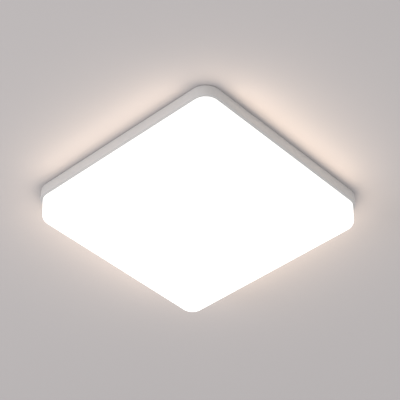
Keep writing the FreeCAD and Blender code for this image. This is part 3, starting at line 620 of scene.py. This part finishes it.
def eased_piece(node, radius, name, segments=2):
    """A node replaced by its own shape, whose sharp edges are eased by a small radius."""
    weld, flat, sharp = 1e-6, math.radians(0.5), math.radians(32)
    bm = bmesh.new()
    bm.from_mesh(solids[node].data)
    bmesh.ops.remove_doubles(bm, verts=bm.verts, dist=weld)
    bmesh.ops.dissolve_limit(bm, angle_limit=flat, verts=bm.verts, edges=bm.edges)
    hard = [e for e in bm.edges if e.is_manifold and e.calc_face_angle() > sharp]
    bmesh.ops.bevel(
        bm, geom=hard, offset=radius, segments=segments, profile=0.5, affect="EDGES", clamp_overlap=True
    )
    bmesh.ops.triangulate(bm, faces=[f for f in bm.faces if len(f.verts) > 4])
    return put_piece(name, mesh_from(bm, node, 40.0), node)


def rounded_ring(bm, centre, halves, corner, z, steps):
    """A rectangle of vertices with round corners at a height, anticlockwise seen from above."""
    ring = []
    for quarter in range(4):
        cx = centre[0] + (halves[0] - corner) * (1 if quarter in (0, 3) else -1)
        cy = centre[1] + (halves[1] - corner) * (1 if quarter in (0, 1) else -1)
        for step in range(steps + 1):
            turn = (quarter + step / steps) * math.pi / 2
            ring.append(bm.verts.new((cx + corner * math.cos(turn), cy + corner * math.sin(turn), z)))
    return ring


def square_ring(bm, half, radius, z, steps=12):
    """A square of vertices with round corners about the light's middle."""
    return rounded_ring(bm, (0.0, 0.0), (half, half), radius, z, steps)


def round_ring(bm, radius, z, steps):
    """A circle of vertices about the upright axis at a height."""
    turns = [2 * math.pi * step / steps for step in range(steps)]
    return [bm.verts.new((radius * math.cos(t), radius * math.sin(t), z)) for t in turns]


def loft(bm, rings, closed=False, capped=False):
    """Skin a run of rings of the same length, and join or close its ends if asked to."""
    pairs = list(zip(rings, rings[1:]))
    if closed:
        pairs.append((rings[-1], rings[0]))
    for low, high in pairs:
        for i in range(len(low)):
            j = (i + 1) % len(low)
            bm.faces.new((low[i], low[j], high[j], high[i]))
    if capped:
        bm.faces.new(rings[0])
        bm.faces.new(rings[-1])


def fan(bm, ring, z):
    """Close a ring with a point on the upright axis."""
    centre = bm.verts.new((0.0, 0.0, z))
    for i, vert in enumerate(ring):
        bm.faces.new((vert, ring[(i + 1) % len(ring)], centre))


def arc_points(centre, radius, first, last, steps):
    """Points of an arc in a section, from one angle in degrees to another."""
    turns = [math.radians(first + (last - first) * step / steps) for step in range(steps + 1)]
    return [(centre[0] + radius * math.cos(t), centre[1] + radius * math.sin(t)) for t in turns]


def spun(bm, section, steps):
    """Turn a section of radius and height points about the upright axis; closed ends lie on the axis."""
    rings = [round_ring(bm, radius, z, steps) for radius, z in section if radius]
    loft(bm, rings)
    for ring, (radius, z) in ((rings[0], section[0]), (rings[-1], section[-1])):
        if not radius:
            fan(bm, ring, z)
    return rings


def eased_block(bm, low, high, radius):
    """A block between two corners with eased edges, as its faces."""
    others = set(bm.faces)
    made = bmesh.ops.create_cube(bm, size=1.0)["verts"]
    for vert in made:
        for axis in range(3):
            vert.co[axis] = high[axis] if vert.co[axis] > 0 else low[axis]
    edges = list({edge for vert in made for edge in vert.link_edges})
    bmesh.ops.bevel(bm, geom=edges, offset=radius, segments=2, profile=0.5, affect="EDGES")
    return [face for face in bm.faces if face not in others]


def prism(bm, outline, width, radius):
    """A solid from an outline of x and z points, as wide as the width about y = 0, with eased edges."""
    first, second = ([bm.verts.new((x, y, z)) for x, z in outline] for y in (-width / 2, width / 2))
    bm.faces.new(first)
    bm.faces.new(list(reversed(second)))
    loft(bm, [first, second])
    edges = list({edge for vert in first + second for edge in vert.link_edges})
    bmesh.ops.recalc_face_normals(bm, faces=bm.faces)
    bmesh.ops.bevel(bm, geom=edges, offset=radius, segments=2, profile=0.5, affect="EDGES")


def four_turned(bm, verts):
    """Copy the pieces of a working mesh to the other three sides of the light."""
    source = list({edge for vert in verts for edge in vert.link_edges})
    faces = list({face for vert in verts for face in vert.link_faces})
    for quarter in (1, 2, 3):
        copied = bmesh.ops.duplicate(bm, geom=list(verts) + source + faces)["geom"]
        moved = [each for each in copied if isinstance(each, bmesh.types.BMVert)]
        turn = Matrix.Rotation(quarter * math.pi / 2, 3, "Z")
        bmesh.ops.rotate(bm, verts=moved, cent=(0.0, 0.0, 0.0), matrix=turn)


def recessed(shape, cutter):
    """A mesh with another cut out of it."""
    scene = bpy.context.scene
    solid = bpy.data.objects.new("solid", shape)
    tool = bpy.data.objects.new("tool", cutter)
    for each in (solid, tool):
        scene.collection.objects.link(each)
    cut = solid.modifiers.new("recess", "BOOLEAN")
    cut.operation = "DIFFERENCE"
    cut.solver = "EXACT"
    cut.use_self = True
    cut.object = tool
    bpy.context.view_layer.update()
    depsgraph = bpy.context.evaluated_depsgraph_get()
    made = bpy.data.meshes.new_from_object(solid.evaluated_get(depsgraph))
    for each in (solid, tool):
        bpy.data.objects.remove(each)
    made.shade_smooth()
    made.set_sharp_from_angle(angle=math.radians(28))
    return made


def copies_at(mesh, places, name):
    """One mesh of a shape repeated at several places."""
    bm = bmesh.new()
    for place in places:
        first = len(bm.verts)
        bm.from_mesh(mesh)
        bm.verts.ensure_lookup_table()
        bmesh.ops.translate(bm, verts=bm.verts[first:], vec=place)
    return plain_mesh(bm, name)


def screw_mesh(head_radius, head_height, shank_radius, length, pitch):
    """A pan head screw that points up, its seat at height zero: cross recess, domed head, cut thread."""
    bm = bmesh.new()
    edge = head_height * 0.45
    rim_ease, plain_shank, tip_length = 0.00015, 0.0004, 0.0015
    section = [(0.0, -head_height), (head_radius * 0.35, -head_height)]
    section.append((head_radius * 0.62, -head_height * 0.97))
    section += arc_points((head_radius - edge, -head_height + edge * 1.08), edge, -75, 0, 6)
    section += [(head_radius, -rim_ease), (head_radius - rim_ease, 0.0)]
    section += [(shank_radius, 0.0), (shank_radius, plain_shank)]
    steps = 32
    rings = spun(bm, section, steps)
    core, steepness, run_in = 0.8, 3.2, 4
    threaded = length - plain_shank - tip_length
    rows = int(threaded / pitch * 8)
    last = rings[-1]
    for row in range(1, rows + 1):
        height = plain_shank + threaded * row / rows
        ring = []
        for i in range(steps):
            turn = i / steps
            phase = (height / pitch - turn) % 1.0
            crest = max(0.0, 1.0 - abs(phase - 0.5) * steepness) * min(1.0, row / run_in)
            reach = shank_radius * (core + (1.0 - core) * crest)
            ring.append(bm.verts.new((
                reach * math.cos(2 * math.pi * turn), reach * math.sin(2 * math.pi * turn), height,
            )))
        loft(bm, [last, ring])
        last = ring
    fan(bm, last, length)
    blank = mesh_from(bm, "screw_blank", 30.0)
    bm = bmesh.new()
    deep = -head_height * 0.42
    wide, slim = head_radius * 0.56, head_radius * 0.13
    for along in (0, 1):
        rings = []
        for reach, half, z in (
            (wide * 1.12, slim * 1.12, -head_height - 0.0004), (wide, slim, -head_height),
            (wide * 0.45, slim * 0.8, deep),
        ):
            corners = ((reach, half), (-reach, half), (-reach, -half), (reach, -half))
            rings.append([bm.verts.new((*(c if not along else (-c[1], c[0])), z)) for c in corners])
        loft(bm, rings, capped=True)
    return recessed(blank, mesh_from(bm, "cross"))


# ---- Operators: the pieces ----
class SetCamera(bpy.types.Operator):
    """Stand the camera below and beside the light, at the picture's viewing angle"""

    bl_idname = "ceiling_light.set_camera"
    bl_label = "Set the camera"

    def execute(self, context):
        stage = context.scene.ceiling_light.stage
        camera = bpy.data.objects.new("camera", bpy.data.cameras.new("camera"))
        context.scene.collection.objects.link(camera)
        camera.location = stage.camera_place
        camera.rotation_euler = stage.camera_turn
        camera.data.lens = stage.lens
        camera.data.sensor_width = 36.0
        camera.data.clip_end = 100.0
        context.scene.camera = camera
        return {"FINISHED"}


class MakeCover(bpy.types.Operator):
    """Form the opal cover with its rounded face edge and its four catches"""

    bl_idname = "ceiling_light.make_cover"
    bl_label = "Opal cover"

    def execute(self, context):
        low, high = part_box("diffuser")
        half = high.x
        wall, draft, edge, lip = 0.002, 0.0008, 0.008, 0.0003
        base = -0.0165
        radius = 0.019
        bm = bmesh.new()
        outer = [(half - lip, high.z), (half, high.z - lip), (half, base)]
        centre = (half - draft - edge, low.z + edge)
        outer += arc_points(centre, edge, 0, -90, 10)
        inner = arc_points(centre, edge - wall, -90, 0, 6)
        inner += [(half - wall, base), (half - wall, high.z - lip), (half - wall + lip, high.z)]
        rings, inside = (
            [square_ring(bm, reach, radius - (half - reach), z) for reach, z in line]
            for line in (outer, inner)
        )
        loft(bm, rings)
        loft(bm, inside)
        loft(bm, [inside[-1], rings[0]])
        bm.faces.new(rings[-1])
        bm.faces.new(inside[0])
        hidden = {vert for ring in inside for vert in ring}
        for face in bm.faces:
            face.material_index = int(hidden.issuperset(face.verts))
        shell = set(bm.verts)
        root, tip = half - 0.001, half - 0.0032
        top, nose, bottom = -0.013, -0.0142, -0.0154
        width = 0.017
        section = [(root, top), (half - wall, top), (tip, nose), (tip, bottom), (root, bottom)]
        prism(bm, section, width, 0.0002)
        catch = [vert for vert in bm.verts if vert not in shell]
        for vert in catch:
            for face in vert.link_faces:
                face.material_index = 1
        four_turned(bm, catch)
        piece = put_piece("opal_cover", mesh_from(bm, "opal_cover", 50.0), "diffuser")
        colors = context.scene.ceiling_light.colors
        plain = slot_colors["opal_plastic"]
        piece.data.materials.append(opal_finish("opal_inside", plain, colors.glow, colors.inside_strength))
        return {"FINISHED"}


class MakePan(bpy.types.Operator):
    """Ease the edges of the moulded base pan"""

    bl_idname = "ceiling_light.make_pan"
    bl_label = "Base pan"

    def execute(self, context):
        eased_piece("base_pan", context.scene.ceiling_light.details.ease, "moulded_pan")
        return {"FINISHED"}


class MakeSeal(bpy.types.Operator):
    """Lay the crowned foam seal in the pan's channel"""

    bl_idname = "ceiling_light.make_seal"
    bl_label = "Cover seal"

    def execute(self, context):
        low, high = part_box("cover_seal")
        width, tall = 0.0035, high.z - low.z
        outer_radius = 0.0191
        crown = 0.45 * tall
        shoulder = low.z + crown
        section = [(0.0, high.z), (0.0, shoulder)]
        for turn in (math.radians(18 * k) for k in range(1, 10)):
            section.append((width * (0.5 - 0.5 * math.cos(turn)), shoulder - crown * math.sin(turn)))
        section += [(width, shoulder), (width, high.z)]
        bm = bmesh.new()
        rings = [square_ring(bm, high.x - inset, outer_radius - inset, z, 10) for inset, z in section]
        loft(bm, rings, closed=True)
        piece = put_piece("foam_seal", mesh_from(bm, "foam_seal", 60.0), "cover_seal")
        return {"FINISHED"}


class MakeBush(bpy.types.Operator):
    """Turn the rubber bush of the wire hole, with its rounded lip and its two barbs"""

    bl_idname = "ceiling_light.make_bush"
    bl_label = "Wire bush"

    def execute(self, context):
        low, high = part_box("wire_grommet")
        lip, neck, bore = 0.009, 0.0065, 0.00475
        seat = low.z + 0.0015
        lip_ease, mouth_ease, neck_ease, top_ease = 0.0007, 0.0006, 0.0005, 0.0004
        section = [(bore, high.z - top_ease), (bore, low.z + mouth_ease)]
        section += arc_points((bore + mouth_ease, low.z + mouth_ease), mouth_ease, 180, 270, 4)[1:]
        section += arc_points((lip - lip_ease, low.z + lip_ease), lip_ease, -90, 0, 5)
        section += [(lip, seat - 0.0002), (lip - 0.0002, seat), (neck, seat), (neck, high.z - neck_ease)]
        section += arc_points((neck - neck_ease, high.z - neck_ease), neck_ease, 0, 90, 4)[1:]
        section += arc_points((bore + top_ease, high.z - top_ease), top_ease, 90, 180, 4)[:-1]
        bm = bmesh.new()
        rings = [round_ring(bm, radius, z, 56) for radius, z in section]
        loft(bm, rings, closed=True)
        root, foot, top, width = 0.0059, -0.006, -0.0048, 0.004
        for side in (1, -1):
            barb = [(root, foot), (high.x, foot), (high.x, foot + 0.0004), (root + 0.0003, top), (root, top)]
            prism(bm, [(side * x, z) for x, z in barb], width, 0.00012)
        put_piece("wire_bush", mesh_from(bm, "wire_bush", 40.0), "wire_grommet")
        return {"FINISHED"}


class MakeScrews(bpy.types.Operator):
    """Form the cross recessed screws of the pan and of the light board"""

    bl_idname = "ceiling_light.make_screws"
    bl_label = "Screws"

    def execute(self, context):
        pitch = context.scene.ceiling_light.details.thread_pitch
        pan_seat, pan_tip, pan_reach = -0.0082, -0.0003, 0.056
        long_one = screw_mesh(
            head_radius=0.0038, head_height=0.0023, shank_radius=0.002, length=pan_tip - pan_seat, pitch=pitch
        )
        places = [(side * pan_reach, 0.0, pan_seat) for side in (1, -1)]
        put_piece("pan_fixing_screws", copies_at(long_one, places, "pan_fixing_screws"), "pan_screws")
        board_seat, board_tip, head = -0.0146, -0.00865, 0.0035
        short_one = screw_mesh(
            head_radius=head, head_height=0.002, shank_radius=0.0015, length=board_tip - board_seat,
            pitch=pitch * 0.8,
        )
        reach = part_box("board_screws")[1].x - head
        places = [(sx * reach, sy * reach, board_seat) for sx in (1, -1) for sy in (1, -1)]
        put_piece("board_fixing_screws", copies_at(short_one, places, "board_fixing_screws"), "board_screws")
        return {"FINISHED"}


class MakeChips(bpy.types.Operator):
    """Set out the light chips: white packages with their phosphor wells and soldered ends"""

    bl_idname = "ceiling_light.make_chips"
    bl_label = "Light chips"

    def execute(self, context):
        low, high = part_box("led_chips")
        bm = bmesh.new()
        length, width = 0.0035, 0.0028
        for x, count in chip_rows:
            for i in range(count):
                y = (i - (count - 1) / 2) * chip_pitch
                self.make_chip(bm, (x, y), (width, length), (low.z, high.z))
        four_turned(bm, list(bm.verts))
        mesh = mesh_from(bm, "light_chips", 30.0)
        put_piece("light_chips", mesh, "led_chips", ("connector_plastic", "tinned_brass"))
        return {"FINISHED"}

    def make_chip(self, bm, place, size, heights):
        """One chip: a tapered package with a domed well, and solder at both of its ends."""
        x, y = place
        width, length = size
        low, high = heights
        rings = []
        corner, solder_edge = 0.0002, 0.00008
        # How far each ring is drawn in, and its height: the back, the wall, the face, the well, the dome.
        for inset, z in (
            (0.0, high), (0.0, high - 0.0001), (0.00006, low + 0.00005), (0.00012, low), (0.00042, low),
            (0.00055, low + 0.00012), (0.00085, low + 0.00004), (0.0011, low + 0.00002),
        ):
            rings.append(rounded_ring(bm, place, (width / 2 - inset, length / 2 - inset), corner, z, 2))
        others = set(bm.faces)
        loft(bm, rings, capped=True)
        well = {vert for ring in rings[5:] for vert in ring}
        for face in bm.faces:
            if face not in others:
                face.material_index = int(not well.issuperset(face.verts))
        for side in (1, -1):
            ends = sorted((y + side * length / 2, y + side * (length / 2 - 0.0004)))
            half, foot = width * 0.36, low + 0.00042
            for face in eased_block(bm, (x - half, ends[0], foot), (x + half, ends[1], high), solder_edge):
                face.material_index = 2


class RunLeads(bpy.types.Operator):
    """Run the insulated leads from the terminal to the driver and from the driver to the board"""

    bl_idname = "ceiling_light.run_leads"
    bl_label = "Leads"

    def execute(self, context):
        thickness = context.scene.ceiling_light.details.lead_diameter
        at_terminal, at_driver, at_plug, at_spade = -0.0197, -0.0222, -0.0166, -0.0154
        routes = {}
        for name, x, end in (("line_lead", -0.040, -0.0375), ("neutral_lead", -0.030, -0.0325)):
            routes[name] = [(x, -0.0156, at_terminal), (x, 0.001, at_terminal)]
            routes[name] += [(end, 0.013, at_driver), (end, 0.025, at_driver)]
        routes["ground_lead"] = [
            (-0.020, -0.0156, at_terminal), (-0.020, -0.00433, at_terminal), (-0.020, -0.00067, at_spade),
            (-0.020, 0.0074, at_spade),
        ]
        for name, y in (("led_lead_positive", 0.0025), ("led_lead_negative", -0.0025)):
            start, end = 0.044 + y, 0.042 + y
            routes[name] = [(0.049, start, at_driver), (0.061, start, at_driver)]
            routes[name] += [(0.074, end, at_plug), (0.0877, end, at_plug)]
        for node, points in routes.items():
            curve = bpy.data.curves.new(node, "CURVE")
            curve.dimensions = "3D"
            line = curve.splines.new("NURBS")
            line.points.add(len(points) - 1)
            for point, place in zip(line.points, points):
                point.co = (*place, 1.0)
            line.order_u = 3
            line.use_endpoint_u = True
            curve.resolution_u = 12
            curve.bevel_depth = thickness / 2
            curve.bevel_resolution = 5
            curve.use_fill_caps = True
            put_piece(node.replace("_lead", "_wire"), curve, node)
        return {"FINISHED"}


class FoldSprings(bpy.types.Operator):
    """Ease the edges of the leaf spring over each release button, each on a mesh of its own"""

    bl_idname = "ceiling_light.fold_springs"
    bl_label = "Button springs"

    def execute(self, context):
        ease = context.scene.ceiling_light.details.fold_ease
        for pole in poles:
            node = f"{pole}_spring"
            piece = eased_piece(node, ease * 0.5, f"{pole}_leaf", 1)
            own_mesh(piece)
        return {"FINISHED"}


class EaseMoulded(bpy.types.Operator):
    """Ease the edges of the driver case, the terminal, its buttons and the connector"""

    bl_idname = "ceiling_light.ease_moulded"
    bl_label = "Moulded inner pieces"

    def execute(self, context):
        ease = context.scene.ceiling_light.details.ease
        names = {
            "driver_base": "driver_case_floor", "driver_cover": "driver_case_lid",
            "driver_transformer": "transformer", "driver_choke": "choke",
            "driver_chips": "control_chips", "driver_terminals": "driver_blocks",
            "terminal_housing": "terminal_block", "board_connector": "board_plug",
            "driver_capacitors": "capacitors",
        }
        for node, name in names.items():
            eased_piece(node, ease, name)
        for pole in poles:
            eased_piece(f"{pole}_button", ease * 0.8, f"{pole}_release")
        return {"FINISHED"}


class EaseSheet(bpy.types.Operator):
    """Ease the edges of the tray, the bar, the springs, the spade and the bars"""

    bl_idname = "ceiling_light.ease_sheet"
    bl_label = "Sheet metal pieces"

    def execute(self, context):
        ease = context.scene.ceiling_light.details.fold_ease
        names = {
            "gear_tray": "pressed_tray", "mounting_bar": "ceiling_bar", "cover_springs": "leaf_springs",
            "ground_spade": "push_on_spade", "terminal_bars": "contact_bars", "led_board": "light_board",
            "driver_board": "driver_circuit_board",
        }
        for node, name in names.items():
            eased_piece(node, ease, name, 1)
        return {"FINISHED"}


class MakeStage(bpy.types.Operator):
    """Hang the ceiling over the light and set the even light and the soft lamps"""

    bl_idname = "ceiling_light.make_stage"
    bl_label = "Stage"

    def execute(self, context):
        stage = context.scene.ceiling_light.stage
        context.scene.view_settings.view_transform = "Standard"
        self.lit_by_glow = bpy.data.collections.new("lit_by_glow")
        self.lit_by_glow.objects.link(self.make_ceiling(context, stage.ceiling))
        self.make_sky(context, stage.sky_strength)
        self.make_key(context, stage.key_strength)
        # For each side: how far out and how high its lamp is, and the shares of the side and of the corner.
        sides = (
            (0.1500, -0.037, 1.15, 1.1), (0.1500, -0.038, 0.95, 0.45),
            (0.1502, -0.031, 0.80, 0.7), (0.1474, -0.031, 1.04, 0.7),
        )
        side_length, corner_length, corner = 0.25, 0.026, (0.2025, -0.031)
        for quarter, (reach, height, share, corner_share) in enumerate(sides):
            angle = quarter * math.pi / 2
            self.make_halo(context, f"side_glow_{quarter}", angle, (reach, height), side_length, share)
            angle += math.pi / 4
            self.make_halo(context, f"corner_glow_{quarter}", angle, corner, corner_length, corner_share)
        return {"FINISHED"}

    def make_ceiling(self, context, color):
        """A wide ceiling just above the light, open over the light's back and clear from behind."""
        bm = bmesh.new()
        reach, height = 6.0, 0.0002
        opening_half, opening_corner, steps = 0.1486, 0.0206, 12
        opening = square_ring(bm, opening_half, opening_corner, height, steps)
        edge = [bm.verts.new((x, y, height)) for x, y in (
            (reach, reach), (-reach, reach), (-reach, -reach), (reach, -reach),
        )]
        for quarter in range(4):
            first = quarter * (steps + 1)
            arc = opening[first:first + steps + 1]
            for i in range(steps):
                bm.faces.new((edge[quarter], arc[i], arc[i + 1]))
            following = opening[(first + steps + 1) % len(opening)]
            bm.faces.new((edge[quarter], arc[-1], following, edge[(quarter + 1) % 4]))
        mesh = plain_mesh(bm, "ceiling")
        material, tree, shader = new_finish("ceiling_paint")
        level = remap(tree, noise(tree, object_place(tree), 3.0, detail=3.0), 0.985, 1.015)
        dress(tree, shader, shaded(tree, color, level), 0.9, Specular_IOR_Level=0.2)
        clear = tree.nodes.new("ShaderNodeBsdfTransparent")
        behind = tree.nodes.new("ShaderNodeNewGeometry").outputs["Backfacing"]
        show_mixed(tree, behind, shader, clear, "ShaderNodeOutputMaterial")
        mesh.materials.append(material)
        ceiling = bpy.data.objects.new("ceiling", mesh)
        context.scene.collection.objects.link(ceiling)
        return ceiling

    def make_sky(self, context, strength):
        """An even neutral light all round, which the camera sees as a pale backdrop."""
        world = bpy.data.worlds.new("even_light")
        world.use_nodes = True
        context.scene.world = world
        tree = world.node_tree
        shade = node_of(tree, "ShaderNodeBackground")
        shade.inputs["Color"].default_value = (0.97, 0.985, 1.0, 1.0)
        shade.inputs["Strength"].default_value = strength
        backdrop = add_node(tree, "ShaderNodeBackground", {"Color": (0.80, 0.785, 0.775), "Strength": 1.0})
        path = tree.nodes.new("ShaderNodeLightPath").outputs
        seen = math_node(tree, "MAXIMUM", path["Is Camera Ray"], path["Is Glossy Ray"])
        seen = math_node(tree, "MAXIMUM", seen, path["Is Transmission Ray"])
        show_mixed(tree, seen, shade, backdrop, "ShaderNodeOutputWorld")

    def make_lamp(self, context, name, size, color, power):
        """A flat lamp of two sides."""
        lamp = bpy.data.objects.new(name, bpy.data.lights.new(name, "AREA"))
        lamp.data.shape = "RECTANGLE"
        lamp.data.size, lamp.data.size_y = size
        lamp.data.color = color
        lamp.data.energy = power
        context.scene.collection.objects.link(lamp)
        return lamp

    def make_halo(self, context, name, angle, place, length, share):
        """A long lamp before one side or corner of the cover, unseen itself, for its glow on the ceiling."""
        stage = context.scene.ceiling_light.stage
        power = stage.halo_strength * share * length
        lamp = self.make_lamp(context, name, (0.025, length), stage.halo, power)
        reach, height = place
        lamp.location = (reach * math.cos(angle), reach * math.sin(angle), height)
        lamp.rotation_euler = (0.0, -math.pi / 2, angle)
        lamp.visible_camera = False
        lamp.visible_glossy = False
        lamp.light_linking.receiver_collection = self.lit_by_glow

    def make_key(self, context, power):
        """A soft square lamp low on the left that looks at the light."""
        lamp = self.make_lamp(context, "key", (1.2, 1.2), (0.98, 0.975, 1.0), power)
        lamp.location = (-2.5, 0.9, -1.1)
        lamp.rotation_euler = lamp.location.to_track_quat("Z", "Y").to_euler()


steps_in_order = (
    SetCamera, MakeCover, MakePan, MakeSeal, MakeBush, MakeScrews, MakeChips, RunLeads, FoldSprings,
    EaseMoulded, EaseSheet, MakeStage,
)


class CeilingLightPanel(bpy.types.Panel):
    """The steps that build the ceiling light"""

    bl_idname = "VIEW3D_PT_ceiling_light"
    bl_label = "Ceiling Light"
    bl_space_type = "VIEW_3D"
    bl_region_type = "UI"
    bl_category = "Ceiling Light"

    def draw(self, context):
        settings = context.scene.ceiling_light
        for group in (settings.colors, settings.details, settings.stage):
            box = self.layout.box()
            for name in group.bl_rna.properties.keys():
                if name not in ("rna_type", "name"):
                    box.prop(group, name)
        for step in steps_in_order:
            self.layout.operator(step.bl_idname)


classes = (
    LightColors, LightDetails, StageSettings, CeilingLightSettings, *steps_in_order, CeilingLightPanel,
)


def register():
    """Register the settings, the steps and the panel."""
    for each in classes:
        bpy.utils.register_class(each)
    bpy.types.Scene.ceiling_light = bpy.props.PointerProperty(type=CeilingLightSettings)


def unregister():
    """Take the settings, the steps and the panel out again."""
    del bpy.types.Scene.ceiling_light
    for each in reversed(classes):
        bpy.utils.unregister_class(each)


def main():
    """Build the light and its stage."""
    register()
    for step in steps_in_order:
        space, name = step.bl_idname.split(".")
        getattr(getattr(bpy.ops, space), name)()


if __name__ == "__main__":
    main()
